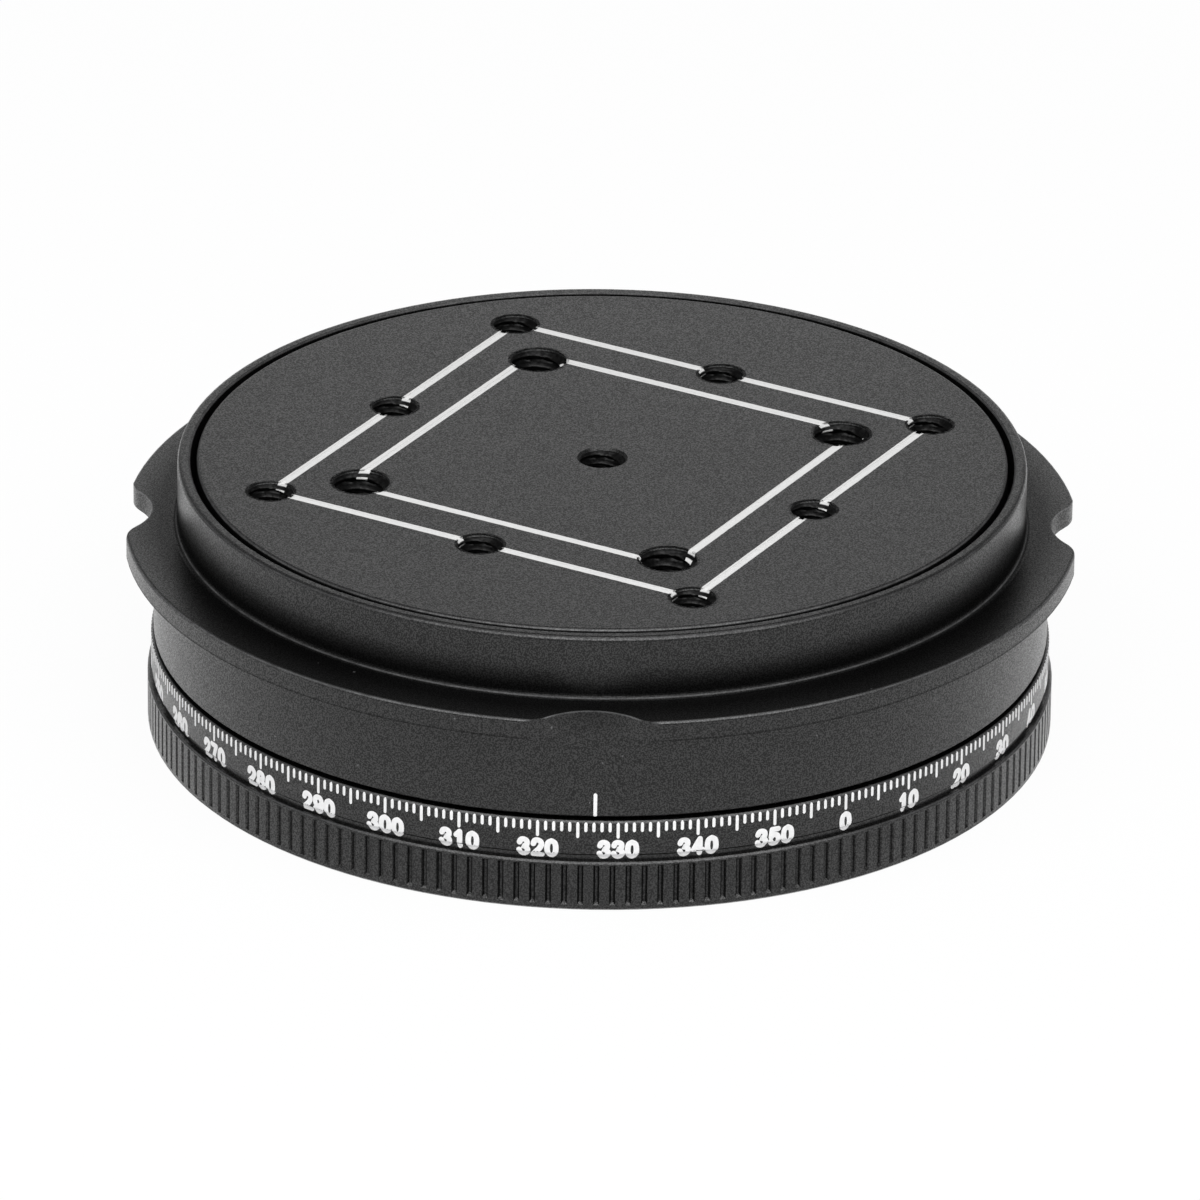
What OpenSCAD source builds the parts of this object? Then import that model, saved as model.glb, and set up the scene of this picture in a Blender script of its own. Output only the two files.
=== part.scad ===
// Low-profile optical rotation mount. The platform with the tapped holes turns in the
// housing on a slim ball bearing, and the graduated, knurled dial below turns with it.
// Millimetres, +Z up, origin on the axis at the dial's lower face, index line towards -Y.

/* [Platform] */
// Diameter of the turning platform
platform_d = 50.4; // [48.5:0.1:54]
// Rounding of the platform's upper edge
platform_round = 0.2; // [0.1:0.02:0.4]
// Angle of the hole pattern from the index line, anticlockwise from above
pattern_angle = 15.75; // [-45:0.05:45]
// Hole spacing of the outer square, the cage system's pitch
cage_pitch = 30; // [27:0.5:31]
// Distance from the centre to the larger, inner holes
inner_hole_reach = 15.45; // [13:0.05:16]
// Major diameter of the small tapped holes
small_thread_d = 2.85; // [2.4:0.05:3]
// Major diameter of the larger tapped holes
large_thread_d = 3.55; // [3:0.05:4]
// Depth of the tapped holes that reach into the hub
deep_hole_l = 6.4; // [4:0.1:8]
// Metal left under the outer tapped holes
hole_floor_t = 0.5; // [0.3:0.1:1]
// Lead-in chamfer of a tapped hole
hole_chamfer = 0.16; // [0.1:0.02:0.3]
// Side of the smaller engraved square; the larger one joins the outer holes
inner_square = 22.98; // [21:0.02:25]
// Width of the engraved lines
line_w = 0.35; // [0.2:0.01:0.5]
// Depth of the engraved lines
line_depth = 0.06; // [0.03:0.01:0.1]

/* [Housing] */
// Running gap between the platform's rim and the housing
rim_gap = 0.4; // [0.2:0.05:0.6]
// Wall of the locating boss round the platform
boss_wall = 0.8; // [0.6:0.05:1.2]
// Height of the boss above the flange
boss_h = 4.11; // [3.8:0.01:5.5]
// Rounding of the boss's outer upper edge
boss_round = 0.3; // [0.1:0.02:0.4]
// Chamfer on the boss's inner upper edge
bore_edge = 0.12; // [0.06:0.02:0.16]
// How far the flange stands out from the boss
flange_reach = 3.3; // [2.6:0.1:4.5]
// Thickness of the flange
flange_t = 1.29; // [1:0.01:2]
// Rounding of the flange's upper edge
flange_round = 0.2; // [0.1:0.02:0.4]
// Radius of the fillet between the boss and the flange
boss_fillet = 0.35; // [0.2:0.01:0.4]
// How far the index band stands out from the boss
band_reach = 1.5; // [1:0.1:2]
// Height of the index band below the flange
band_h = 5.9; // [5.7:0.1:7]
// Radius of the four notches in the flange
notch_r = 4.2; // [3:0.1:4.5]
// Depth of the notches, from the flange's rim
notch_depth = 1.7; // [1.2:0.05:1.75]
// Rounding of the notches' lips
notch_lip_r = 2.6; // [1:0.1:3]
// Angle of the notches from the index line, anticlockwise from above
notch_angle = -0.5; // [-5:0.1:5]

/* [Dial] */
// Height of the dial ring
dial_h = 5.89; // [5.7:0.01:8]
// Gap between the dial and the index band
dial_gap = 0.21; // [0.15:0.01:0.5]
// How far the graduated land stands out from the index band
dial_reach = 0.15; // [0:0.05:0.4]
// Height of the knurled grip
knurl_h = 3.23; // [2.6:0.01:4]
// How far the knurled grip stands out from the graduated land
knurl_reach = 0.23; // [0.1:0.01:0.5]
// Number of grooves round the grip
knurl_count = 182; // [90:1:220]
// Width of a knurl groove at its mouth
knurl_groove_w = 0.37; // [0.2:0.01:0.42]
// Width of a knurl groove at its floor
knurl_floor_w = 0.14; // [0.05:0.01:0.2]
// Depth of a knurl groove
knurl_groove_depth = 0.17; // [0.1:0.01:0.25]
// Plain margin below the knurl grooves
knurl_low_margin = 0.36; // [0.2:0.02:0.6]
// Plain margin above the knurl grooves
knurl_high_margin = 0.2; // [0.14:0.02:0.6]
// Angle of the first knurl groove from the index line, anticlockwise from above
knurl_angle = 0.235; // [-2:0.005:2]
// Chamfer on the grip's two edges
knurl_chamfer = 0.12; // [0.06:0.02:0.2]
// Width of the relief groove above the grip
relief_w = 0.47; // [0.3:0.01:0.6]
// Depth of the relief groove above the grip
relief_depth = 0.14; // [0.1:0.01:0.25]

/* [Bearing] */
// How far the hub that carries the bearing lies inside the platform's rim
hub_inset = 6.7; // [6.2:0.1:7.2]
// Radial section of the bearing
bearing_section = 4.5; // [4.2:0.1:4.8]
// Width of the bearing
bearing_w = 3.2; // [3:0.05:3.4]
// Ball diameter
ball_d = 2; // [1.8:0.05:2.1]
// Number of balls
ball_count = 30; // [20:1:36]
// Thickness of a bearing shield
shield_t = 0.25; // [0.15:0.05:0.3]
// Thickness of the threaded ring over the bearing
retainer_t = 0.8; // [0.6:0.1:1]
// Thickness of the shim on the inner race
shim_t = 0.3; // [0.2:0.05:0.4]

/* [Clamp] */
// Diameter of the plate under the dial
clamp_plate_d = 44; // [40:0.5:46]
// Thickness of the plate under the dial
clamp_plate_t = 1.6; // [1.5:0.1:2]
// How far the plate lies above the dial's lower face
clamp_recess = 0.4; // [0.2:0.1:0.6]
// Circle of the four clamp screws
clamp_circle_d = 22; // [18:0.5:25]
// Diameter of the clamp screws
clamp_screw_d = 2.5; // [2:0.1:3]
// Length of the clamp screws
clamp_screw_l = 6; // [4.5:0.5:7]
// From the graduated land inwards to the wave spring's rim
spring_inset = 2.25; // [2.05:0.05:3.05]
// Radial width of the wave spring
spring_w = 3.8; // [3:0.1:4]
// Height of the wave spring in place
spring_h = 1.9; // [1.5:0.1:2.1]
// Thickness of the wave spring's strip
spring_t = 0.3; // [0.2:0.05:0.4]
// Thickness of the thrust washer
washer_t = 0.7; // [0.5:0.1:0.9]

/* [Lock] */
// Diameter of the lock screw
lock_d = 2.5; // [2:0.1:2.6]
// Depth of the lock screw's outer end below the band
lock_recess = 0.5; // [0.3:0.1:1]
// Length of the soft tip in front of it
lock_tip_l = 1.7; // [1.3:0.1:2.1]
// Gap between the tip and the dial's sleeve when it is unlocked
lock_gap = 0.1; // [0.1:0.01:0.2]
// Height of the lock screw above the band's lower edge
lock_rise = 2; // [1.9:0.05:2.1]

/* [Fits] */
// Radial clearance of a located or threaded fit
fit = 0.03; // [0.02:0.01:0.05]
// Clearance between a ball and its track
ball_play = 0.03; // [0.02:0.01:0.05]
// Clearance round the sleeve and the bearing's turning ring
turn_gap = 0.5; // [0.3:0.05:0.7]

/* [Hidden] */
$fn = 96;
eps = 0.01;

// radii, from the platform outwards
platform_r = platform_d / 2;
bore_r = platform_r + rim_gap;
boss_r = bore_r + boss_wall;
flange_r = boss_r + flange_reach;
band_r = boss_r + band_reach;
dial_r = band_r + dial_reach;
knurl_r = dial_r + knurl_reach;

// heights, from the dial's lower face upwards
band_z = dial_h + dial_gap;
flange_z = band_z + band_h;
flange_top_z = flange_z + flange_t;
top_z = flange_top_z + boss_h;
lock_z = band_z + lock_rise;
lock_hole_r = lock_d / 2 + fit;
seat_lip = 0.32;
seat_z = lock_z + lock_hole_r + seat_lip;
bearing_top_z = seat_z + bearing_w;
floor_z = bearing_top_z + retainer_t;
platform_float = 0.3;
disc_z = floor_z + platform_float;

// bearing, from the hub outwards
hub_r = platform_r - hub_inset;
bearing_r = hub_r + bearing_section;
pitch_r = hub_r + bearing_section / 2;
ball_r = ball_d / 2;
ball_z = seat_z + bearing_w / 2;
land_gap = 0.65;
race_in_r = pitch_r - land_gap;
race_out_r = pitch_r + land_gap;
cage_clear = 0.1;
cage_in_r = race_in_r + cage_clear;
cage_out_r = race_out_r - cage_clear;
cage_wall = 0.14;
cage_h = ball_d + 2 * (ball_play + cage_wall);
shield_inset = 0.05;
shield_seat_r = race_out_r + 0.4;
shoulder_r = race_in_r - 0.5;
retainer_r = bearing_r + 1.4;
retainer_in_r = bearing_r - 1.8;
spanner_slot_w = 1.2;
spanner_slot_l = 1.1;

// dial and clamp
sleeve_r = shoulder_r;
housing_in_r = sleeve_r + turn_gap;
spigot_r = hub_r - 2.5;
spigot_step = 0.4;
clamp_z = clamp_recess + clamp_plate_t;
clamp_nip = 0.2;
plate_r = clamp_plate_d / 2;
plate_gap = 0.3;
spring_r = dial_r - spring_inset;
spring_in_r = spring_r - spring_w;
washer_z = band_z - fit - washer_t;
spring_z = washer_z - spring_h;
pocket_gap = 0.2;
spring_waves = 4;
spring_steps = 96;
clamp_head_d = 1.88 * clamp_screw_d;
head_lip = 0.15;
dial_edge = 0.12;
band_edge = 0.12;

// turned body in the half plane, revolved round Z
module turned(points) rotate_extrude() polygon(points);

// ring with a rectangular section
module ring(r_in, r_out, z, h) turned([[r_in, z], [r_out, z], [r_out, z + h], [r_in, z + h]]);

// copies round the axis, the first at angle start
module around(count, start, reach)
    for (i = [0:count - 1]) rotate(start + 360 / count * i) translate([reach, 0, 0]) children();

// points of a quarter-round fillet between a wall and a floor, going down and outwards
function fillet(r, wall, floor, steps = 5) =
    [for (i = [0:steps]) let (a = 180 + 90 * i / steps) [wall + r + r * cos(a), floor + r + r * sin(a)]];

// points of a rounded upper edge, from the side up to the top face
function rounding(r, side, top, steps = 4) =
    [for (i = [0:steps]) let (a = 90 * i / steps) [side - r + r * cos(a), top - r + r * sin(a)]];

// cutter for a tapped hole: plain bore at the major diameter with a lead-in chamfer
module tapped_hole(d, z_top, depth) {
    translate([0, 0, z_top - depth]) cylinder(d = d, h = depth + eps);
    translate([0, 0, z_top - hole_chamfer]) cylinder(d1 = d, d2 = d + 2 * hole_chamfer, h = hole_chamfer);
}

// cutter for one flange notch: a round bite with rounded lips, pointing along +X
module notch() {
    reach = flange_r - notch_depth + notch_r;
    lip_reach = flange_r - notch_lip_r;
    lip_span = notch_r + notch_lip_r;
    lip_angle = acos((pow(lip_reach, 2) + pow(reach, 2) - pow(lip_span, 2)) / (2 * lip_reach * reach));
    z = flange_z - 1;
    h = flange_t + 2;
    translate([reach, 0, z]) cylinder(r = notch_r, h = h);
    for (side = [-1, 1]) {
        lip = lip_reach * [cos(lip_angle), side * sin(lip_angle)];
        rim = flange_r * [cos(lip_angle), side * sin(lip_angle)];
        towards = [reach, 0] - lip;
        waist = lip + notch_lip_r * towards / norm(towards);
        outside = rim * 1.02;
        difference() {
            translate([0, 0, z]) linear_extrude(h) polygon([rim, outside, [outside[0], 0], waist]);
            translate([lip[0], lip[1], z - 1]) cylinder(r = notch_lip_r, h = h + 2);
        }
    }
}

module housing() {
    profile = concat(
        [[housing_in_r, band_z], [band_r - band_edge, band_z], [band_r, band_z + band_edge],
         [band_r, flange_z], [flange_r, flange_z]],
        rounding(flange_round, flange_r, flange_top_z),
        [for (p = [5:-1:0]) fillet(boss_fillet, boss_r, flange_top_z)[p]],
        rounding(boss_round, boss_r, top_z),
        [[bore_r + bore_edge, top_z], [bore_r, top_z - bore_edge], [bore_r, floor_z],
         [retainer_r + fit, floor_z], [retainer_r + fit, bearing_top_z],
         [bearing_r + fit, bearing_top_z], [bearing_r + fit, seat_z], [housing_in_r, seat_z]]);
    color([0.16, 0.16, 0.17]) difference() {
        turned(profile);
        around(4, notch_angle, 0) notch();
        translate([0, housing_in_r - 1, lock_z]) rotate([-90, 0, 0])
            cylinder(r = lock_hole_r, h = band_r - housing_in_r + 2);
    }
}

// threaded ring over the outer race, with two spanner slots
module bearing_retainer() {
    color([0.2, 0.2, 0.21]) difference() {
        ring(retainer_in_r, retainer_r, bearing_top_z, retainer_t);
        around(2, 0, retainer_in_r + spanner_slot_l / 2 - eps)
            translate([0, 0, bearing_top_z + retainer_t])
                cube([spanner_slot_l, spanner_slot_w, retainer_t], center = true);
    }
}

// the ball track, cut out of both races
module ball_track() rotate_extrude() translate([pitch_r, ball_z]) circle(r = ball_r + ball_play);

module bearing_outer_race() {
    seat_h = shield_t + shield_inset;
    color([0.7, 0.71, 0.73]) difference() {
        ring(race_out_r, bearing_r, seat_z, bearing_w);
        ball_track();
        ring(race_out_r - 1, shield_seat_r, seat_z - 1, 1 + seat_h);
        ring(race_out_r - 1, shield_seat_r, bearing_top_z - seat_h, 1 + seat_h);
    }
}

module bearing_inner_race() {
    color([0.7, 0.71, 0.73]) difference() {
        ring(hub_r + fit, race_in_r, seat_z, bearing_w);
        ball_track();
    }
}

module shield(z) color([0.6, 0.61, 0.63]) ring(race_in_r + cage_clear, shield_seat_r - fit, z, shield_t);

module bearing_shield_upper() shield(bearing_top_z - shield_inset - shield_t);

module bearing_shield_lower() shield(seat_z + shield_inset);

module ball_cage() {
    color([0.72, 0.55, 0.25]) difference() {
        ring(cage_in_r, cage_out_r, ball_z - cage_h / 2, cage_h);
        around(ball_count, 0, cage_in_r - 1) translate([0, 0, ball_z]) rotate([0, 90, 0])
            cylinder(r = ball_r + ball_play, h = cage_out_r - cage_in_r + 2, $fn = 32);
    }
}

module bearing_balls() color([0.8, 0.81, 0.83])
    around(ball_count, 0, pitch_r) translate([0, 0, ball_z]) sphere(r = ball_r, $fn = 32);

module shim_ring() color([0.7, 0.71, 0.73]) ring(hub_r + fit, shoulder_r, bearing_top_z, shim_t);

// cutter for the engraved outline of a square
module square_line(side) {
    translate([0, 0, top_z - line_depth]) linear_extrude(1) difference() {
        square(side + line_w, center = true);
        square(side - line_w, center = true);
    }
}

module platform() {
    first = pattern_angle - 90;
    disc_t = top_z - disc_z;
    shoulder_z = bearing_top_z + shim_t;
    spigot_end_z = clamp_z + clamp_nip;
    color([0.2, 0.2, 0.21]) difference() {
        turned(concat([[0, spigot_end_z], [spigot_r, spigot_end_z], [spigot_r, seat_z - spigot_step],
            [hub_r, seat_z - spigot_step], [hub_r, shoulder_z], [shoulder_r, shoulder_z],
            [shoulder_r, disc_z], [platform_r, disc_z]],
            rounding(platform_round, platform_r, top_z), [[0, top_z]]));
        around(4, first, cage_pitch / sqrt(2)) tapped_hole(small_thread_d, top_z, disc_t - hole_floor_t);
        around(4, first + 45, cage_pitch / 2) tapped_hole(small_thread_d, top_z, deep_hole_l);
        around(4, first, inner_hole_reach) tapped_hole(large_thread_d, top_z, deep_hole_l);
        tapped_hole(small_thread_d, top_z, deep_hole_l);
        around(4, first + 45, clamp_circle_d / 2)
            translate([0, 0, spigot_end_z - eps])
                cylinder(r = clamp_screw_d / 2 + fit, h = clamp_screw_l - clamp_z + clamp_recess + 0.3);
        rotate(first + 45) {
            square_line(cage_pitch);
            square_line(inner_square);
        }
    }
}

// cutter for one knurl groove, pointing along +X: a block that narrows inwards to the
// groove's floor, with ends that slope as its sides do
module knurl_groove() {
    run = knurl_groove_depth;
    spread = (knurl_groove_w - knurl_floor_w) / 2 / run;
    out = 0.5;
    low = knurl_low_margin;
    high = knurl_h - knurl_high_margin;
    outer = [knurl_r + out, knurl_groove_w / 2 + out * spread, low - out, high + out];
    inner = [knurl_r - run, knurl_floor_w / 2, low + run, high - run];
    points = [for (c = [inner, outer]) for (z = [c[2], c[3]]) for (side = [-1, 1]) [c[0], side * c[1], z]];
    polyhedron(points, [[0, 1, 3, 2], [4, 6, 7, 5], [0, 4, 5, 1], [2, 3, 7, 6], [0, 2, 6, 4], [1, 5, 7, 3]]);
}

module dial_ring() {
    pocket_in_r = spring_in_r - pocket_gap;
    pocket_out_r = spring_r + pocket_gap;
    relief_z = knurl_h + relief_w;
    profile = [
        [spigot_r + fit, clamp_z], [plate_r + plate_gap, clamp_z], [plate_r + plate_gap, 0],
        [knurl_r - knurl_chamfer, 0], [knurl_r, knurl_chamfer], [knurl_r, knurl_h - knurl_chamfer],
        [knurl_r - knurl_chamfer, knurl_h], [dial_r - relief_depth, knurl_h],
        [dial_r - relief_depth, relief_z - relief_depth], [dial_r, relief_z],
        [dial_r, dial_h - dial_edge], [dial_r - dial_edge, dial_h], [pocket_out_r, dial_h],
        [pocket_out_r, spring_z], [pocket_in_r, spring_z], [pocket_in_r, dial_h], [sleeve_r, dial_h],
        [sleeve_r, seat_z], [hub_r + fit, seat_z], [hub_r + fit, seat_z - spigot_step - clamp_nip],
        [spigot_r + fit, seat_z - spigot_step - clamp_nip]];
    color([0.16, 0.16, 0.17]) difference() {
        turned(profile);
        around(knurl_count, knurl_angle - 90, 0) knurl_groove();
    }
}

// wavy strip: a ring whose height follows a sine of spring_waves periods
module wave_spring() {
    swing = (spring_h - spring_t) / 2;
    function ring_point(i, k) = let (a = 360 * i / spring_steps,
        r = (k == 0 || k == 3) ? spring_in_r : spring_r,
        z = spring_z + swing * (1 + sin(spring_waves * a)) + (k < 2 ? 0 : spring_t))
        [r * cos(a), r * sin(a), z];
    points = [for (i = [0:spring_steps - 1]) for (k = [0:3]) ring_point(i, k)];
    faces = [for (i = [0:spring_steps - 1]) for (k = [0:3])
        let (n = (i + 1) % spring_steps, m = (k + 1) % 4) [4 * i + k, 4 * i + m, 4 * n + m, 4 * n + k]];
    color([0.65, 0.66, 0.68]) polyhedron(points, faces);
}

module thrust_washer() color([0.9, 0.9, 0.88]) ring(spring_in_r, spring_r, washer_z, washer_t);

module clamp_plate() {
    color([0.2, 0.2, 0.21]) difference() {
        translate([0, 0, clamp_recess]) cylinder(r = plate_r, h = clamp_plate_t);
        around(4, pattern_angle - 45, clamp_circle_d / 2) translate([0, 0, clamp_recess]) {
            translate([0, 0, -eps]) cylinder(r = clamp_screw_d / 2 + 0.1, h = clamp_plate_t + 2 * eps);
            translate([0, 0, -eps]) cylinder(d = clamp_head_d + 2 * fit, h = head_lip + eps);
            translate([0, 0, head_lip]) cylinder(d1 = clamp_head_d + 2 * fit,
                d2 = clamp_screw_d + 2 * fit, h = (clamp_head_d - clamp_screw_d) / 2);
        }
    }
}

// flat-head screw, its head down at z = 0, with a hexagon socket
module flat_head_screw(d, head_d, length) {
    color([0.25, 0.25, 0.26]) difference() {
        turned([[0, 0], [head_d / 2, 0], [head_d / 2, head_lip],
            [d / 2, head_lip + (head_d - d) / 2], [d / 2, length - d * 0.12],
            [d * 0.38, length], [0, length]]);
        translate([0, 0, -eps]) cylinder(d = 0.7 * d, h = 0.55 * d, $fn = 6);
    }
}

module clamp_screw(i) rotate(pattern_angle - 45 + 90 * (i - 1))
    translate([clamp_circle_d / 2, 0, clamp_recess])
        flat_head_screw(clamp_screw_d, clamp_head_d, clamp_screw_l);

module clamp_screw_1() clamp_screw(1);

module clamp_screw_2() clamp_screw(2);

module clamp_screw_3() clamp_screw(3);

module clamp_screw_4() clamp_screw(4);

// lock screw and its tip lie in the band opposite the index line, along +Y
lock_tip_y = sleeve_r + lock_gap;
lock_screw_y = lock_tip_y + lock_tip_l;
lock_l = band_r - lock_recess - lock_screw_y;

module lock_screw() {
    color([0.25, 0.25, 0.26]) translate([0, lock_screw_y, lock_z]) rotate([-90, 0, 0]) difference() {
        turned([[0, 0], [lock_d * 0.36, 0], [lock_d / 2, lock_d * 0.14], [lock_d / 2, lock_l - 0.15],
            [lock_d / 2 - 0.15, lock_l], [0, lock_l]]);
        translate([0, 0, lock_l - 0.7 * lock_d]) cylinder(d = 0.6 * lock_d, h = lock_d, $fn = 6);
    }
}

module lock_tip() {
    tip_r = lock_hole_r - 2 * fit;
    color([0.92, 0.91, 0.86]) translate([0, lock_tip_y, lock_z]) rotate([-90, 0, 0])
        turned([[0, 0], [tip_r - 0.2, 0], [tip_r, 0.2], [tip_r, lock_tip_l], [0, lock_tip_l]]);
}

housing();
bearing_retainer();
bearing_outer_race();
bearing_shield_upper();
bearing_shield_lower();
ball_cage();
bearing_balls();
bearing_inner_race();
shim_ring();
platform();
dial_ring();
wave_spring();
thrust_washer();
clamp_plate();
clamp_screw_1();
clamp_screw_2();
clamp_screw_3();
clamp_screw_4();
lock_screw();
lock_tip();
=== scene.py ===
import math

import bpy
import numpy as np
from mathutils import Matrix, Vector


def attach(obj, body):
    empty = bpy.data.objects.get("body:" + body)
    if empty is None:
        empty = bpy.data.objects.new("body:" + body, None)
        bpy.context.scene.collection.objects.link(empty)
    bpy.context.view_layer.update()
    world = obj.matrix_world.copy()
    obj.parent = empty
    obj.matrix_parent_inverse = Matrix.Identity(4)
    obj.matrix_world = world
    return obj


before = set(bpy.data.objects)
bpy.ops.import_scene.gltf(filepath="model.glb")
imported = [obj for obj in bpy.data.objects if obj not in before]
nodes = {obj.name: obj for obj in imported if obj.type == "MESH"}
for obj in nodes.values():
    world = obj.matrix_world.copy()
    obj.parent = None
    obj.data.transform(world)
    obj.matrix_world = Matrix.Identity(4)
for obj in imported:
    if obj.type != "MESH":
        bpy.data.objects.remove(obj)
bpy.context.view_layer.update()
mm = 0.001
print("frame loaded:", len(nodes), "nodes")


def meshFromGrids(name, grids, material, body, smoothAngle=40.0):
    # each grid is an array (rows, columns, 3) in millimetres, closed along its columns;
    # closeRows joins the last row to the first, otherwise both ends are shut by a fan
    verts, faces, count = [], [], 0
    for points, closeRows in grids:
        rows, cols = points.shape[:2]
        index = count + np.arange(rows * cols).reshape(rows, cols)
        ahead = np.roll(index, -1, axis=1)
        if closeRows:
            below, belowAhead = np.roll(index, -1, axis=0), np.roll(ahead, -1, axis=0)
        else:
            index, ahead, below, belowAhead = index[:-1], ahead[:-1], index[1:], ahead[1:]
        faces.append(np.stack([index, below, belowAhead, ahead], axis=-1).reshape(-1, 4))
        verts.append(points.reshape(-1, 3))
        count += rows * cols
        if not closeRows:
            verts.append(points[[0, -1]].mean(axis=1))
            first, last = count, count + 1
            count += 2
            top, bottom = index[0], below[-1]
            firsts, lasts = np.full(cols, first), np.full(cols, last)
            faces.append(np.stack([firsts, top, np.roll(top, -1), firsts], axis=-1))
            faces.append(np.stack([lasts, np.roll(bottom, -1), bottom, lasts], axis=-1))
    co = np.concatenate(verts) * mm
    quads = np.concatenate(faces)
    isTri = quads[:, 0] == quads[:, 3]
    loops = np.concatenate([quads[~isTri].ravel(), quads[isTri][:, :3].ravel()])
    totals = np.concatenate([np.full((~isTri).sum(), 4), np.full(isTri.sum(), 3)])
    mesh = bpy.data.meshes.new(name)
    mesh.vertices.add(len(co))
    mesh.vertices.foreach_set("co", co.astype(np.float32).ravel())
    mesh.loops.add(len(loops))
    mesh.loops.foreach_set("vertex_index", loops.astype(np.int32))
    mesh.polygons.add(len(totals))
    mesh.polygons.foreach_set("loop_start", (np.cumsum(totals) - totals).astype(np.int32))
    mesh.polygons.foreach_set("loop_total", totals.astype(np.int32))
    mesh.update(calc_edges=True)
    mesh.validate()
    mesh.polygons.foreach_set("use_smooth", np.ones(len(mesh.polygons), bool))
    mesh.set_sharp_from_angle(angle=math.radians(smoothAngle))
    mesh.materials.append(material)
    piece = bpy.data.objects.new(name, mesh)
    bpy.context.scene.collection.objects.link(piece)
    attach(piece, body)


# section of a paint fill across its width: shares of the half width, and heights in mm
paintSection = {
    "across": np.array([-1.0, -0.97, -0.8, 0.0, 0.8, 0.97, 1.0, 0.0]),
    "lift": np.array([-0.03, 0.004, 0.011, 0.014, 0.011, 0.004, -0.03, -0.03]),
    "leastWidth": 0.004,
}


def strokeGrid(path, halfWidth, surface, ends):
    # a paint stroke: the section is carried along a flat path (along, up) in mm, and its
    # half width shrinks over both ends as a half circle; surface lays it on the part
    path = np.asarray(path, float)
    step = np.diff(path, axis=0)
    tangentStart = step[0] / np.linalg.norm(step[0])
    tangentEnd = step[-1] / np.linalg.norm(step[-1])
    turn = np.linspace(0, math.pi / 2, ends + 1)[:-1]
    head = path[0] - tangentStart * halfWidth * np.cos(turn)[:, None]
    tail = path[-1] + tangentEnd * halfWidth * np.cos(turn)[::-1, None]
    widthHead = halfWidth * np.sin(turn)
    widths = np.concatenate([widthHead, np.full(len(path), halfWidth), widthHead[::-1]])
    widths = np.maximum(widths, paintSection["leastWidth"])
    line = np.concatenate([head, path, tail])
    tangent = np.gradient(line, axis=0)
    tangent /= np.linalg.norm(tangent, axis=1)[:, None]
    normal = np.stack([-tangent[:, 1], tangent[:, 0]], axis=1)
    spread = widths[:, None] * paintSection["across"][None, :]
    flat = line[:, None, :] + normal[:, None, :] * spread[..., None]
    lift = np.broadcast_to(paintSection["lift"], spread.shape)
    return surface(flat[..., 0], flat[..., 1], lift)


def roundSurface(profile, angle):
    # lays (along, up) on a turned face: angle = start + along / radius, radius from the profile
    heights, radii = np.array(profile).T
    def place(along, up, lift):
        radius = np.interp(up, heights, radii)
        turn = math.radians(angle) + along / radii.max()
        r = radius + lift
        return np.stack([r * np.cos(turn), r * np.sin(turn), up], axis=-1)
    return place


def smoothStrokes(points, samples):
    # Catmull-Rom curves through the points; a doubled point ends one stroke and starts the next
    pieces, run = [], []
    for p in points:
        if run and p == run[-1]:
            pieces.append(run)
            run = [p]
        else:
            run.append(p)
    pieces.append(run)
    out = []
    for run in pieces:
        if len(run) < 3:
            line = np.linspace(run[0], run[-1], samples + 1)
        else:
            k = np.array(run, float)
            k = np.concatenate([[2 * k[0] - k[1]], k, [2 * k[-1] - k[-2]]])
            t = np.linspace(0, 1, samples, endpoint=False)[None, :, None]
            a, b, c, d = (k[i:len(k) - 3 + i][:, None, :] for i in range(4))
            curve = 0.5 * (2 * b + (c - a) * t + (2 * a - 5 * b + 4 * c - d) * t**2
                           + (3 * b - a - 3 * c + d) * t**3)
            line = np.concatenate([curve.reshape(-1, 2), k[-2][None]])
        out.append(line)
    return out


class Wire:
    # one output of a node; arithmetic on it adds Math nodes
    def __init__(self, tree, socket=None):
        self.tree, self.socket = tree, socket

    def add(self, kind, settings=None, inputs=None, out=0):
        node = self.tree.nodes.new("ShaderNode" + kind)
        for key, value in (settings or {}).items():
            setattr(node, key, value)
        for key, value in (inputs or {}).items():
            if isinstance(value, Wire):
                self.tree.links.new(value.socket, node.inputs[key])
            else:
                node.inputs[key].default_value = value
        return Wire(self.tree, node.outputs[out]) if node.outputs else None

    def sums(self, operation, *values):
        return self.add("Math", {"operation": operation}, dict(enumerate(values)))

    def __add__(self, other):
        return self.sums("ADD", self, other)

    def __sub__(self, other):
        return self.sums("SUBTRACT", self, other)

    def __mul__(self, other):
        return self.sums("MULTIPLY", self, other)

    def __truediv__(self, other):
        return self.sums("DIVIDE", self, other)

    def __pow__(self, other):
        return self.sums("POWER", self, other)

    def __radd__(self, other):
        return self.sums("ADD", other, self)

    def __rsub__(self, other):
        return self.sums("SUBTRACT", other, self)

    def __rmul__(self, other):
        return self.sums("MULTIPLY", other, self)

    def __abs__(self):
        return self.sums("ABSOLUTE", self)

    def atLeast(self, other):
        return self.sums("MAXIMUM", self, other)

    def atMost(self, other):
        return self.sums("MINIMUM", self, other)

    def step(self, low, high):
        # 0 below low, 1 above high, a straight ramp between
        return self.add("MapRange", {"clamp": True},
                        {"Value": self, "From Min": low, "From Max": high, "To Min": 0.0, "To Max": 1.0})

    def blend(self, low, high):
        # colour low where the value is 0, colour high where it is 1
        return self.add("Mix", {"data_type": "RGBA"}, {"Factor": self, "A": low, "B": high}, out=2)


def startMaterial(name):
    material = bpy.data.materials.new(name)
    material.use_nodes = True
    material.node_tree.nodes.clear()
    return material, Wire(material.node_tree)


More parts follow.
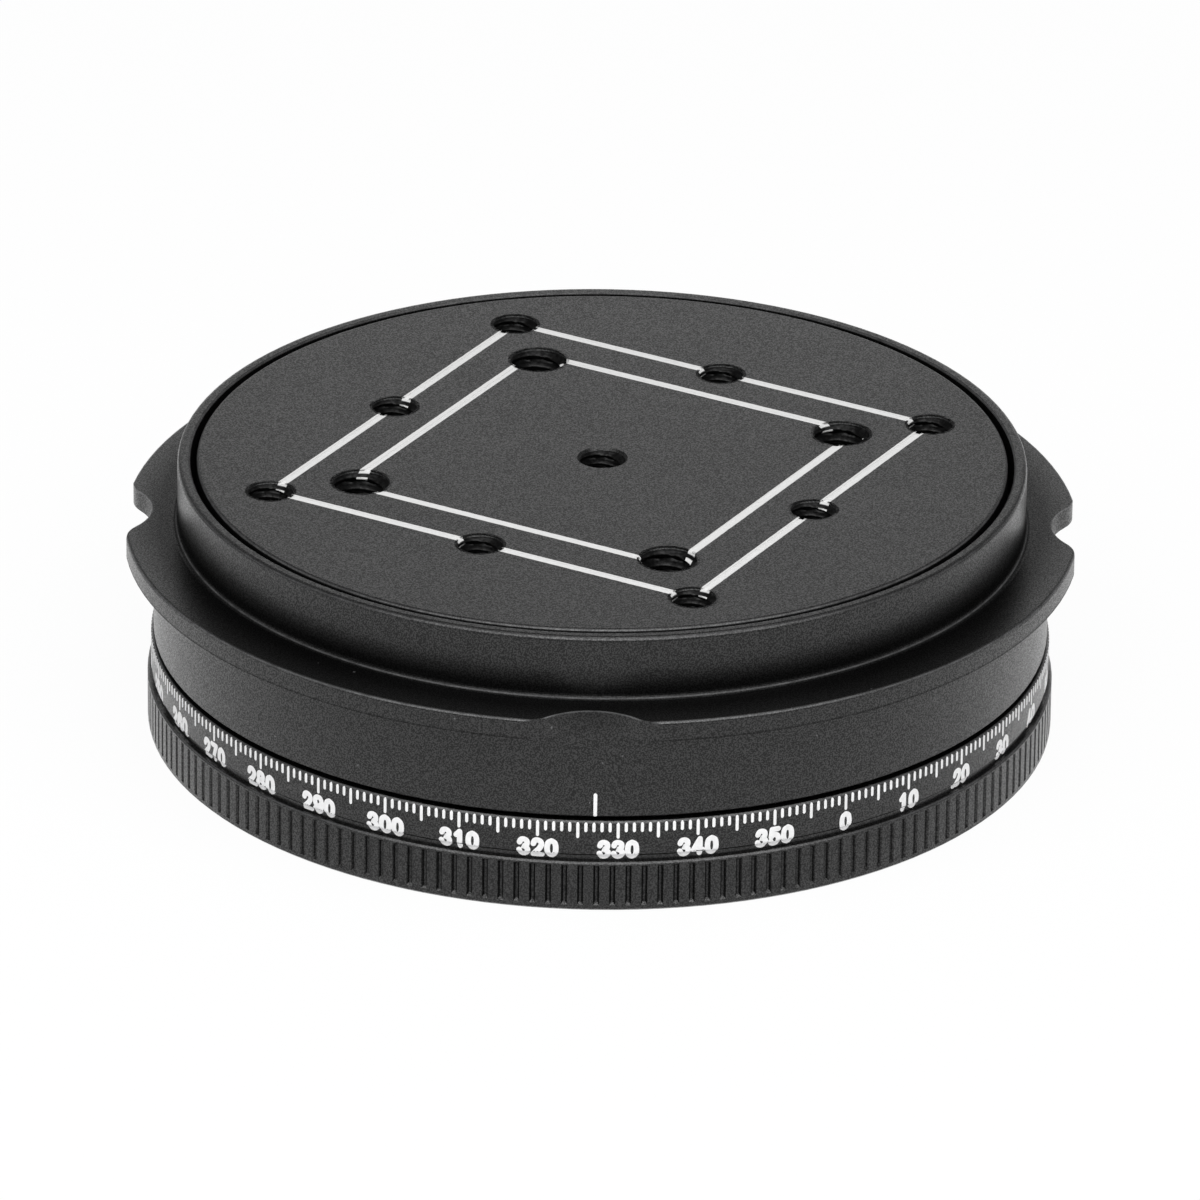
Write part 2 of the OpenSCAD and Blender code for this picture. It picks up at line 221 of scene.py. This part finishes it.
def closeMaterial(wire, constants, varying, shadow=None):
    # a Principled shader: constants sit on its own sockets, varying ones are linked; it gives
    # way to black where shadow is 1
    shader = wire.add("BsdfPrincipled", None, {**constants, **varying})
    if shadow:
        black = wire.add("BsdfDiffuse", None, {"Color": (0, 0, 0, 1)})
        shader = wire.add("MixShader", None, {0: shadow, 1: shader, 2: black})
    wire.add("OutputMaterial", None, {"Surface": shader})


def objectPlace(wire):
    # the place, then its x, y, z and radius from the axis in millimetres
    place = wire.add("TexCoord", out=3)
    apart = wire.add("SeparateXYZ", None, {0: place})
    x, y, z = (Wire(wire.tree, apart.socket.node.outputs[i]) * 1000.0 for i in range(3))
    return place, x, y, z, (x * x + y * y) ** 0.5


def turnedPlace(x, y, degrees):
    # the same place along axes turned by the angle
    a = math.radians(degrees)
    return x * math.cos(a) + y * math.sin(a), y * math.cos(a) - x * math.sin(a)


def noise(wire, place, scale, detail=3.0, roughness=0.55):
    return wire.add("TexNoise", {"noise_dimensions": "3D"},
                    {"Vector": place, "Scale": scale, "Detail": detail, "Roughness": roughness})


def latheNoise(wire, radius, z, scale, detail):
    # rings round the axis, as a turning tool leaves them
    section = wire.add("CombineXYZ", None, {0: radius, 1: z, 2: 0.0})
    return noise(wire, section, scale, detail, 0.6)


def edgeGlow(radius, z, edges):
    # sum of soft lines of painted light on a turned part: painted highlights where they lighten the colour,
    # painted shade where they darken it; each is (radius, height, half width, strength)
    total = None
    for edgeRadius, edgeZ, width, strength in edges:
        away = ((radius - edgeRadius) ** 2.0 + (z - edgeZ) ** 2.0) ** 0.5
        line = (1.0 - away / width).atLeast(0.0) * strength
        total = line if total is None else total + line
    return total


def grey(level):
    return (level, level, level * 1.02, 1)


# the platform's engraved squares and holes, in mm; paint is where the white filling runs
platformSizes = {
    "top": 17.4, "angle": 15.75, "cageHalf": 15.0, "innerHalf": 11.49, "lineHalf": 0.176, "sink": 0.03,
    "smallHole": 1.425, "largeHole": 1.775, "largeReach": 15.45, "holeChamfer": 0.16,
    "holeLap": 0.02, "chamferLift": 0.004,
    "outerPaint": 15.0, "innerPaint": 11.64, "fillHalf": 0.31, "fillSoft": 0.015,
    "fillWander": 0.05, "fillGrain": 2500.0, "fillFloor": 17.2, "floorSoft": 0.03,
    "fillCrest": 16.93, "crestHalf": 0.06, "crestEnd": 0.1,
    "fillColour": (0.7, 0.7, 0.695, 1), "fillRough": 0.25,
}
# the flange's notches: the angle of the first, where their axes lie, and the painted highlight line on their
# edge
notchSizes = {
    "angle": -0.5, "reach": 32.2, "radius": 4.2, "z": 13.29, "edge": 0.1, "core": 0.02, "width": 0.09,
    "strength": 0.7,
}
# painted shade in the knurl grooves, in mm: none outside the radius "none" and full inside "full", which
# lies below the grooves' floor at 28.11, so the floor gets a little under half of it
knurlSizes = {
    "full": 28.0, "none": 28.2, "bottom": 0.03, "top": 3.05, "soft": 0.05, "strength": 0.6,
    "endLow": 0.35, "endHigh": 0.7, "endStrength": 0.2,
}


def squareFill(wire, x, y, z):
    # 1 on the painted squares: the larger of |u| and |v|, the place turned to the squares, lies
    # within half a line of half a side; the paint runs a little way down into the holes
    s = platformSizes
    u, v = turnedPlace(x, y, s["angle"] - 45)
    reach = abs(u).atLeast(abs(v))
    away = abs(reach - s["outerPaint"]).atMost(abs(reach - s["innerPaint"]))
    grain = noise(wire, wire.add("TexCoord", out=3), s["fillGrain"], 2.0)
    away = away + (grain - 0.5) * s["fillWander"]
    line = 1.0 - away.step(s["fillHalf"] - s["fillSoft"], s["fillHalf"] + s["fillSoft"])
    mouth = z.step(s["fillFloor"] - s["floorSoft"], s["fillFloor"] + s["floorSoft"])
    crest = 1.0 - abs(z - s["fillCrest"]).step(s["crestHalf"], s["crestEnd"])
    return line * (mouth + crest).atMost(1.0)


def notchGlow(x, y, z):
    # a painted highlight, a soft line along the upper edge of the four notches: |distance from a notch's axis
    # - its radius|, in one eighth of the plan that stands for all
    s = notchSizes
    u, v = turnedPlace(x, y, s["angle"])
    u, v = abs(u), abs(v)
    along = u.atLeast(v) - s["reach"]
    across = u.atMost(v)
    away = (along * along + across * across) ** 0.5 - s["radius"]
    line = 1.0 - abs(away).step(s["core"], s["width"])
    return line * z.step(s["z"] - s["edge"], s["z"]) * s["strength"]


def grooveShade(radius, z):
    # painted shade in the grooves: grows inwards on a straight ramp within the grooves' height, and more at
    # their lower ends
    s = knurlSizes
    deep = 1.0 - radius.step(s["full"], s["none"])
    span = z.step(s["bottom"], s["bottom"] + s["soft"]) - z.step(s["top"], s["top"] + s["soft"])
    lowEnd = 1.0 - z.step(s["endLow"], s["endHigh"])
    return deep * span * (s["strength"] + lowEnd * s["endStrength"])


def anodised(name, look, edges=(), paintedShade=(), filled=False, notched=False, grooved=False):
    # near black metal whose coat comes and goes as a fine grain; painted highlights lie as pale lines on its
    # edges, among pale dust specks, and rings of painted shade, or painted shade in the knurl grooves, turn
    # it towards black
    material, wire = startMaterial(name)
    place, x, y, z, radius = objectPlace(wire)
    grain = noise(wire, place, look["grainScale"], 2.0, 0.6)
    cloud = noise(wire, place, look["cloudScale"])
    turning = latheNoise(wire, radius, z, look["turnScale"], 2.0)
    shade = (grain - 0.5) * look["grainContrast"] + (cloud - 0.5) * look["cloudContrast"] + 0.5
    colour = shade.step(0.0, 1.0).blend(grey(look["dark"]), grey(look["light"]))
    if edges:
        # painted highlights: pale lines along the edges and the notches' lips, broken up by noise, in the
        # same pale colour as the dust specks
        paintedHighlight = edgeGlow(radius, z, edges)
        if notched:
            paintedHighlight = paintedHighlight + notchGlow(x, y, z)
        paintedHighlight = paintedHighlight * noise(wire, place, look["highlightNoiseScale"]).step(look["highlightNoiseLow"], look["highlightNoiseHigh"])
        specks = noise(wire, place, look["dustScale"], 1.0).step(look["dustLow"], look["dustHigh"])
        colour = (paintedHighlight + specks * look["dust"]).blend(colour, grey(look["highlightAndDust"]))
    rough = look["rough"] + (cloud - 0.5) * look["cloudRough"] + (grain - 0.5) * look["grainRough"]
    sparkle = noise(wire, place, look["glintScale"], 1.0, 0.5)
    glint = sparkle.step(look["glintLow"], look["glintHigh"]) * look["glint"]
    if filled:
        fill = squareFill(wire, x, y, z)
        colour = fill.blend(colour, platformSizes["fillColour"])
        rough = rough + fill * platformSizes["fillRough"]
        glint = glint * (1.0 - fill)
    # painted shade: the shader turns towards black on these rings, or in the knurl grooves
    shadow = edgeGlow(radius, z, paintedShade) if paintedShade else None
    if grooved:
        shadow = grooveShade(radius, z)
    if shadow:
        shadow = shadow.atMost(look["shadowMost"])
    height = grain * look["grainDepth"] + turning * look["turnDepth"]
    bump = wire.add("Bump", None, {"Height": height, "Strength": 1.0, "Distance": look["bumpDistance"]})
    constants = {"Metallic": 0.0, "IOR": look["ior"], "Coat Roughness": look["coatRough"],
                 "Coat IOR": look["coatIor"]}
    varying = {"Base Color": colour, "Roughness": rough, "Coat Weight": glint, "Normal": bump}
    closeMaterial(wire, constants, varying, shadow)
    return material


anodisedLook = {
    "grainScale": 7000.0, "grainContrast": 0.5, "grainDepth": 0.006, "grainRough": 0.06,
    "cloudScale": 140.0, "cloudContrast": 0.25, "cloudRough": 0.08,
    "turnScale": 9.0, "turnDepth": 0.0, "bumpDistance": 0.001,
    "dark": 0.0002, "light": 0.002, "rough": 0.36, "ior": 1.4,
    "glint": 0.95, "glintScale": 11000.0, "glintLow": 0.44, "glintHigh": 0.59,
    "coatRough": 0.34, "coatIor": 1.5, "shadowMost": 0.8,
    # the pale colour and noise of the painted edge highlights, which the dust specks share
    "highlightAndDust": 0.2, "highlightNoiseScale": 1200.0, "highlightNoiseLow": 0.1, "highlightNoiseHigh": 0.7,
    "dust": 0.4, "dustScale": 2200.0, "dustLow": 0.8, "dustHigh": 0.83,
}
turnedLook = {**anodisedLook, "turnDepth": 0.001}
dialLook = {**turnedLook, "rough": 0.32}
threadLook = {**anodisedLook, "rough": 0.34, "ior": 1.22, "glint": 0.25, "glintScale": 4000.0}

# painted highlights along edges, and rings of painted shade on the housing: radius, height, half width in mm,
# and strength
housingHighlights = [
    (25.66, 17.34, 0.1, 0.3), (26.32, 17.32, 0.12, 0.25), (26.47, 13.4, 0.08, 1.0),
    (29.64, 13.23, 0.1, 0.45), (27.84, 6.16, 0.08, 0.15),
]
# rings of painted shade: the flange's lower edge, the foot of the boss and the flange top beside it
housingPaintedShade = [(29.7, 12.0, 0.16, 0.6), (26.3, 14.0, 1.5, 0.6), (27.6, 13.29, 1.6, 0.42)]
platformHighlights = [(25.16, 17.32, 0.12, 0.35)]
dialHighlights = [(27.99, 5.83, 0.1, 0.5), (28.22, 3.17, 0.09, 0.4), (28.22, 0.06, 0.08, 0.15)]

paintLook = {
    "grainScale": 5000.0, "cloudScale": 900.0, "grainShare": 0.6, "shadeLow": 0.3, "shadeHigh": 0.7,
    "bumpDistance": 0.000004, "rough": 0.5, "roughSpread": 0.2, "ior": 1.45,
}


def paint(name, look):
    material, wire = startMaterial(name)
    place = wire.add("TexCoord", out=3)
    grain = noise(wire, place, look["grainScale"])
    cloud = noise(wire, place, look["cloudScale"], 2.0)
    share = look["grainShare"]
    shade = (grain * share + cloud * (1.0 - share)).step(look["shadeLow"], look["shadeHigh"])
    low, high = look["low"], look["high"]
    colour = shade.blend((low, low, low * 0.99, 1), (high, high, high, 1))
    rough = look["rough"] + grain * look["roughSpread"]
    bump = wire.add("Bump", None, {"Height": grain, "Strength": 1.0, "Distance": look["bumpDistance"]})
    closeMaterial(wire, {"IOR": look["ior"]}, {"Base Color": colour, "Roughness": rough, "Normal": bump})
    return material


turningLook = {
    "cloudScale": 300.0, "lineShare": 0.7, "shadeLow": 0.25, "shadeHigh": 0.75, "roughSpread": 0.12,
    "metallic": 1.0, "lineDepth": 0.000002, "ior": 1.5,
}


def metal(name, look):
    material, wire = startMaterial(name)
    place, _, _, z, radius = objectPlace(wire)
    lines = latheNoise(wire, radius, z, look["lineScale"], 4.0)
    cloud = noise(wire, place, look["cloudScale"])
    share = look["lineShare"]
    shade = (lines * share + cloud * (1.0 - share)).step(look["shadeLow"], look["shadeHigh"])
    colour = shade.blend(look["low"] + (1,), look["high"] + (1,))
    rough = look["rough"] + lines * look["roughSpread"]
    bump = wire.add("Bump", None, {"Height": lines, "Strength": 1.0, "Distance": look["lineDepth"]})
    closeMaterial(wire, {"Metallic": look["metallic"], "IOR": look["ior"]},
                  {"Base Color": colour, "Roughness": rough, "Normal": bump})
    return material


metalLooks = {
    "groundSteel": {"low": (0.5, 0.51, 0.53), "high": (0.66, 0.67, 0.69), "rough": 0.22,
                    "lineScale": 14.0},
    "polishedSteel": {"low": (0.7, 0.71, 0.73), "high": (0.78, 0.79, 0.81), "rough": 0.06,
                      "lineScale": 4.0, "lineDepth": 0.0000002},
    "machinedBrass": {"low": (0.66, 0.5, 0.22), "high": (0.76, 0.6, 0.32), "rough": 0.25,
                      "lineScale": 10.0},
    "rolledSpring": {"low": (0.42, 0.43, 0.45), "high": (0.56, 0.57, 0.59), "rough": 0.28,
                     "lineScale": 8.0},
    "blackOxide": {"low": (0.03, 0.03, 0.032), "high": (0.08, 0.08, 0.085), "rough": 0.34,
                   "metallic": 0.7, "lineScale": 12.0},
    "mattWasher": {"low": (0.78, 0.78, 0.76), "high": (0.88, 0.88, 0.86), "rough": 0.55,
                   "metallic": 0.0, "lineScale": 9.0},
    "naturalNylon": {"low": (0.78, 0.75, 0.66), "high": (0.88, 0.86, 0.78), "rough": 0.45,
                     "metallic": 0.0, "lineScale": 9.0},
}

finishes = {name: metal(name, {**turningLook, **look}) for name, look in metalLooks.items()}
finishes["anodisedHousing"] = anodised("anodisedHousing", turnedLook, housingHighlights, housingPaintedShade, notched=True)
finishes["anodisedPlatform"] = anodised("anodisedPlatform", anodisedLook, platformHighlights, filled=True)
finishes["anodisedThread"] = anodised("anodisedThread", threadLook, filled=True)
finishes["anodisedDial"] = anodised("anodisedDial", dialLook, dialHighlights, grooved=True)
finishes["anodisedInner"] = anodised("anodisedInner", turnedLook)
finishes["whiteFill"] = paint("whiteFill", {**paintLook, "low": 0.74, "high": 0.88})
finishes["whiteLine"] = paint("whiteLine", {**paintLook, "low": 0.66, "high": 0.74})

nodeFinish = {
    "housing": "anodisedHousing", "platform": "anodisedPlatform", "dial_ring": "anodisedDial",
    "bearing_retainer": "anodisedInner", "clamp_plate": "anodisedInner",
    "bearing_outer_race": "groundSteel", "bearing_inner_race": "groundSteel",
    "bearing_shield_upper": "rolledSpring", "bearing_shield_lower": "rolledSpring",
    "ball_cage": "machinedBrass", "bearing_balls": "polishedSteel", "shim_ring": "groundSteel",
    "wave_spring": "rolledSpring", "thrust_washer": "mattWasher", "lock_tip": "naturalNylon",
    "lock_screw": "blackOxide", "clamp_screw_1": "blackOxide", "clamp_screw_2": "blackOxide",
    "clamp_screw_3": "blackOxide", "clamp_screw_4": "blackOxide",
}
for nodeName, finish in nodeFinish.items():
    slots = nodes[nodeName].data.materials
    if len(slots) == 0:
        slots.append(finishes[finish])
    for i in range(len(slots)):
        slots[i] = finishes[finish]
print("finishes on", len(nodeFinish), "nodes")

dialSizes = {
    "reading": 327.13,  # degrees at the index line
    "minorTop": 5.82, "minorBottom": 5.18, "majorBottom": 4.76, "tickHalf": 0.1,
    "numberBottom": 3.33, "numberHeight": 1.35, "numberWidth": 0.93, "advance": 0.865, "strokeHalf": 0.18,
}
dialProfile = [(0.0, 28.16), (0.12, 28.28), (3.11, 28.28), (3.23, 28.16), (3.231, 27.91), (3.56, 27.91),
               (3.7, 28.05), (5.77, 28.05), (5.89, 27.93)]

# centre lines of the figures in a box from -0.5 to 0.5 and from 0 to 1; a doubled point is a corner
figures = {
    "0": [(0.0, 1.0), (-0.36, 0.86), (-0.47, 0.5), (-0.36, 0.14), (0.0, 0.0), (0.36, 0.14), (0.47, 0.5),
          (0.36, 0.86), (0.0, 1.0)],
    "1": [(-0.3, 0.76), (0.08, 1.0), (0.08, 1.0), (0.08, 0.0)],
    "2": [(-0.44, 0.74), (-0.3, 0.95), (0.02, 1.0), (0.36, 0.9), (0.42, 0.68), (0.2, 0.43), (-0.18, 0.2),
          (-0.46, 0.0), (-0.46, 0.0), (0.46, 0.0)],
    "3": [(-0.42, 0.78), (-0.28, 0.95), (0.02, 1.0), (0.35, 0.9), (0.36, 0.66), (0.1, 0.54), (-0.08, 0.53),
          (0.12, 0.51), (0.42, 0.38), (0.42, 0.14), (0.1, 0.0), (-0.28, 0.05), (-0.46, 0.26)],
    "4": [(0.22, 0.0), (0.22, 1.0), (0.22, 1.0), (-0.48, 0.27), (-0.48, 0.27), (0.48, 0.27)],
    "5": [(0.4, 1.0), (-0.3, 1.0), (-0.3, 1.0), (-0.4, 0.5), (-0.4, 0.5), (-0.1, 0.63), (0.3, 0.56),
          (0.45, 0.32), (0.3, 0.06), (-0.02, 0.0), (-0.32, 0.05), (-0.46, 0.22)],
    "6": [(0.42, 0.82), (0.22, 0.98), (-0.08, 0.98), (-0.38, 0.76), (-0.46, 0.36), (-0.28, 0.05), (0.04, 0.0),
          (0.38, 0.1), (0.44, 0.34), (0.26, 0.57), (-0.06, 0.6), (-0.36, 0.46)],
    "7": [(-0.46, 1.0), (0.46, 1.0), (0.46, 1.0), (0.12, 0.52), (-0.08, 0.0)],
    "8": [(0.0, 0.53), (0.34, 0.64), (0.34, 0.9), (0.0, 1.0), (-0.34, 0.9), (-0.34, 0.64), (0.0, 0.53),
          (0.42, 0.4), (0.42, 0.12), (0.0, 0.0), (-0.42, 0.12), (-0.42, 0.4), (0.0, 0.53)],
}
figures["9"] = [(-px, 1.0 - py) for px, py in figures["6"]]
figureLines = {key: smoothStrokes(line, 4) for key, line in figures.items()}


def makeGraduations():
    s = dialSizes
    ticks, numbers = [], []
    for degree in range(360):
        angle = -90.0 + degree - s["reading"]
        bottom = s["majorBottom"] if degree % 5 == 0 else s["minorBottom"]
        line = np.linspace((0.0, s["minorTop"] - s["tickHalf"]), (0.0, bottom + s["tickHalf"]), 3)
        ticks.append((strokeGrid(line, s["tickHalf"], roundSurface(dialProfile, angle), ends=2), False))
        if degree % 10 == 0:
            text = str(degree)
            for i, letter in enumerate(text):
                shift = (i - (len(text) - 1) / 2) * s["advance"]
                size = np.array([s["numberWidth"], s["numberHeight"]]) - 2 * s["strokeHalf"]
                for stroke in figureLines[letter]:
                    line = stroke * size + np.array([shift, s["numberBottom"] + s["strokeHalf"]])
                    grid = strokeGrid(line, s["strokeHalf"], roundSurface(dialProfile, angle), ends=3)
                    numbers.append((grid, False))
    meshFromGrids("dial_ticks", ticks, finishes["whiteFill"], "rotor")
    meshFromGrids("dial_numbers", numbers, finishes["whiteFill"], "rotor")
    print("graduations:", len(ticks), "ticks,", len(numbers), "strokes")


makeGraduations()

indexSizes = {"halfWidth": 0.115, "bottom": 6.13, "top": 7.72}
bandProfile = [(6.1, 27.78), (6.22, 27.9), (12.0, 27.9)]


def makeIndexLine():
    s = indexSizes
    line = np.linspace((0.0, s["bottom"] + s["halfWidth"]), (0.0, s["top"] - s["halfWidth"]), 6)
    grid = strokeGrid(line, s["halfWidth"], roundSurface(bandProfile, -90.0), ends=4)
    meshFromGrids("index_line", [(grid, False)], finishes["whiteFill"], "housing")
    print("index line made")


makeIndexLine()


def turnedBy(points, degrees):
    a = math.radians(degrees)
    x, y, z = np.moveaxis(points, -1, 0)
    return np.stack([x * math.cos(a) - y * math.sin(a), x * math.sin(a) + y * math.cos(a), z], axis=-1)


def barGrid(half, start, end, steps=24):
    # a paint bar along x at y = half, from hole start to hole end; each is (x, y, radius).
    # it follows the holes' chamfers down, and its ends lie on their circles
    s = platformSizes
    offset = half + s["lineHalf"] * paintSection["across"]
    reach = s["holeChamfer"]
    def edge(hole, side):
        square = (hole[2] + s["holeLap"]) ** 2 - (offset - hole[1]) ** 2
        return hole[0] + side * np.sqrt(np.maximum(square, 0.0))
    first, last = edge(start, 1.0), edge(end, -1.0)
    share = (1 - np.cos(np.linspace(0, math.pi, steps))) / 2
    x = first[None, :] + (last - first)[None, :] * share[:, None]
    y = np.broadcast_to(offset, x.shape)
    fall = 0.0
    for hole in (start, end):
        away = np.hypot(x - hole[0], y - hole[1])
        fall = fall + np.clip(hole[2] + reach - away, 0.0, reach)
    lift = np.broadcast_to(paintSection["lift"], x.shape)
    return np.stack([x, y, s["top"] - np.maximum(s["sink"], fall - s["chamferLift"]) + lift], axis=-1)


def makeSquares():
    s = platformSizes
    cage, inner = s["cageHalf"], s["innerHalf"]
    large = s["largeReach"] / math.sqrt(2)
    cornerLeft, cornerRight = (-cage, cage, s["smallHole"]), (cage, cage, s["smallHole"])
    middle = (0.0, cage, s["smallHole"])
    bars = [(cage, cornerLeft, middle), (cage, middle, cornerRight),
            (inner, (-large, large, s["largeHole"]), (large, large, s["largeHole"]))]
    grids = []
    for side in range(4):
        for half, start, end in bars:
            grid = turnedBy(barGrid(half, start, end), s["angle"] - 45 + 90 * side)
            grids.append((grid[:, ::-1], False))
    meshFromGrids("platform_squares", grids, finishes["whiteLine"], "rotor")


makeSquares()

threadSizes = {
    "small": {"pitch": 0.635, "height": 0.36}, "large": {"pitch": 0.794, "height": 0.44},
    "around": 44, "perTurn": 8, "wall": 0.02, "endGap": 0.02,
    "waveGain": 1.25, "waveCut": 0.12, "waveMost": 0.9, "fadeIn": 0.5, "fadeOut": 0.1,
    "cornerDepth": 2.9, "deepDepth": 6.4, "smoothAngle": 60.0,
}


def threadGrid(centre, kind, depth):
    # a liner inside the bore: its inner radius falls and rises as a triangle wave of
    # height / pitch minus angle / turn, fading in over the first part of a turn
    s, size = threadSizes, threadSizes[kind]
    bore = platformSizes[kind + "Hole"]
    top = platformSizes["top"] - platformSizes["holeChamfer"]
    rows = int(depth / size["pitch"] * s["perTurn"])
    down = np.linspace(0.0, depth - platformSizes["holeChamfer"] - s["endGap"], rows)[:, None]
    turn = np.linspace(0, 2 * math.pi, s["around"], endpoint=False)[None, :]
    phase = (down / size["pitch"] + turn / (2 * math.pi)) % 1.0
    wave = np.clip(s["waveGain"] * (1 - np.abs(2 * phase - 1)) - s["waveCut"], 0.0, s["waveMost"])
    fade = np.clip(down / (s["fadeIn"] * size["pitch"]), 0.0, 1.0)
    fade = fade * np.clip((down[-1] - down) / s["fadeOut"], 0.0, 1.0)
    inner = bore - size["height"] * wave * fade
    outer = np.full((2, s["around"]), bore + s["wall"])
    radius = np.concatenate([outer[:1], inner, outer[1:]])
    z = top - np.concatenate([down[:1], down, down[-1:]])
    x = centre[0] + radius * np.cos(turn)
    y = centre[1] + radius * np.sin(turn)
    grid = np.stack([x, y, np.broadcast_to(z, x.shape)], axis=-1)
    return grid[:, ::-1]


def planPoint(radius, angle):
    return radius * math.cos(angle), radius * math.sin(angle)


def makeThreads():
    s, deep = platformSizes, threadSizes["deepDepth"]
    grids = []
    for i in range(4):
        a = math.radians(s["angle"] - 90 + 90 * i)
        corner = planPoint(s["cageHalf"] * math.sqrt(2), a)
        side = planPoint(s["cageHalf"], a + math.pi / 4)
        grids.append((threadGrid(corner, "small", threadSizes["cornerDepth"]), True))
        grids.append((threadGrid(side, "small", deep), True))
        grids.append((threadGrid(planPoint(s["largeReach"], a), "large", deep), True))
    grids.append((threadGrid((0.0, 0.0), "small", deep), True))
    meshFromGrids("platform_threads", grids, finishes["anodisedThread"], "rotor",
                  threadSizes["smoothAngle"])


makeThreads()
print("platform lines and threads made")

cameraSizes = {
    "target": (0.0, 0.0, 17.4), "distance": 797.77, "elevation": 24.329, "azimuth": 0.335, "roll": 0.715,
    "focalPixels": 12842.0, "pixelX": 602.36, "pixelY": 457.55, "imagePixels": 1200.0,
    "sensor": 36.0, "clipStart": 0.01, "clipEnd": 20.0,  # mm, then metres
}


def makeCamera():
    s = cameraSizes
    a, e, roll = (math.radians(s[k]) for k in ("azimuth", "elevation", "roll"))
    target = np.array(s["target"])
    back = np.array([math.sin(a) * math.cos(e), -math.cos(a) * math.cos(e), math.sin(e)])
    right = np.array([math.cos(a), math.sin(a), 0.0])
    up = np.cross(back, right)
    right, up = (right * math.cos(roll) + up * math.sin(roll),
                 up * math.cos(roll) - right * math.sin(roll))
    position = target + back * s["distance"]
    # turn the view so that the target lands on its own pixel
    offX = (s["pixelX"] - s["imagePixels"] / 2) / s["focalPixels"]
    offY = (s["imagePixels"] / 2 - s["pixelY"]) / s["focalPixels"]
    back = back + right * offX + up * offY
    back /= np.linalg.norm(back)
    right = right - back * (right @ back)
    right /= np.linalg.norm(right)
    up = np.cross(back, right)
    data = bpy.data.cameras.new("camera")
    data.sensor_fit = "HORIZONTAL"
    data.sensor_width = s["sensor"]
    data.lens = s["sensor"] * s["focalPixels"] / s["imagePixels"]
    data.clip_start = s["clipStart"]
    data.clip_end = s["clipEnd"]
    camera = bpy.data.objects.new("camera", data)
    bpy.context.scene.collection.objects.link(camera)
    matrix = np.eye(4)
    matrix[:3] = np.stack([right, up, back, position * mm], axis=1)
    camera.matrix_world = Matrix(matrix.tolist())
    bpy.context.scene.camera = camera


makeCamera()

studio = {
    "floorSize": 1.6, "floorAlbedo": 0.88, "floorGlow": 0.95, "world": 0.25, "worldShine": 0.2,
    "lamps": {
        "lampFront": {"azimuth": -90, "rise": 45, "watts": 0.85},
        "lampFrontLeft": {"azimuth": -135, "rise": 45, "watts": 0.55},
        "lampFrontRight": {"azimuth": -45, "rise": 45, "watts": 0.6},
        "lampTop": {"azimuth": 0, "rise": 85, "watts": 0.35},
        "lampBack": {"azimuth": 90, "rise": 14, "watts": 0.12},
        "lampLeft": {"azimuth": 180, "rise": 10, "watts": 0.16},
        "lampRight": {"azimuth": 0, "rise": 10, "watts": 0.16},
    },
    "lampReach": 0.45, "lampSize": 0.25,
}


def rays(wire, *kinds):
    # one value for each kind of ray, 1 where the ray is of that kind
    path = wire.add("LightPath")
    return [Wire(wire.tree, path.socket.node.outputs["Is " + kind + " Ray"]) for kind in kinds]


def makeFloor():
    # matt white, which the camera and reflections see as an even glow
    half = studio["floorSize"] / 2
    corners = [(-half, -half, 0), (half, -half, 0), (half, half, 0), (-half, half, 0)]
    mesh = bpy.data.meshes.new("floor")
    mesh.from_pydata(corners, [], [(0, 1, 2, 3)])
    material, wire = startMaterial("floorWhite")
    camera, glossy = rays(wire, "Camera", "Glossy")
    seen = (camera + glossy).atMost(1.0)
    matt = wire.add("BsdfDiffuse", None, {"Color": grey(studio["floorAlbedo"])})
    glow = wire.add("Emission", None, {"Color": (1, 1, 1, 1), "Strength": 1.0})
    mixed = wire.add("MixShader", None, {0: seen * studio["floorGlow"], 1: matt, 2: glow})
    wire.add("OutputMaterial", None, {"Surface": mixed})
    mesh.materials.append(material)
    floor = bpy.data.objects.new("floor", mesh)
    bpy.context.scene.collection.objects.link(floor)


def makeWorld():
    world = bpy.data.worlds.new("studio")
    world.use_nodes = True
    world.node_tree.nodes.clear()
    wire = Wire(world.node_tree)
    camera, glossy, through = rays(wire, "Camera", "Glossy", "Transmission")
    seen = (camera + through).atMost(1.0)
    plain = studio["world"]
    strength = plain + seen * (1.0 - plain) + glossy * (studio["worldShine"] - plain)
    glow = wire.add("Background", None, {"Color": (1, 1, 1, 1), "Strength": strength})
    wire.add("OutputWorld", None, {"Surface": glow})
    bpy.context.scene.world = world


def makeLamps():
    for name, lamp in studio["lamps"].items():
        data = bpy.data.lights.new(name, "AREA")
        data.shape = "RECTANGLE"
        data.size = data.size_y = studio["lampSize"]
        data.energy = lamp["watts"]
        rise = math.radians(lamp["rise"])
        place = Vector((*planPoint(math.cos(rise), math.radians(lamp["azimuth"])), math.sin(rise)))
        light = bpy.data.objects.new(name, data)
        light.location = place * studio["lampReach"]
        light.rotation_euler = (-place).to_track_quat("-Z", "Y").to_euler()
        bpy.context.scene.collection.objects.link(light)


makeFloor()
makeWorld()
makeLamps()
bpy.context.scene.view_settings.view_transform = "Standard"
print("camera, floor and lamps set")
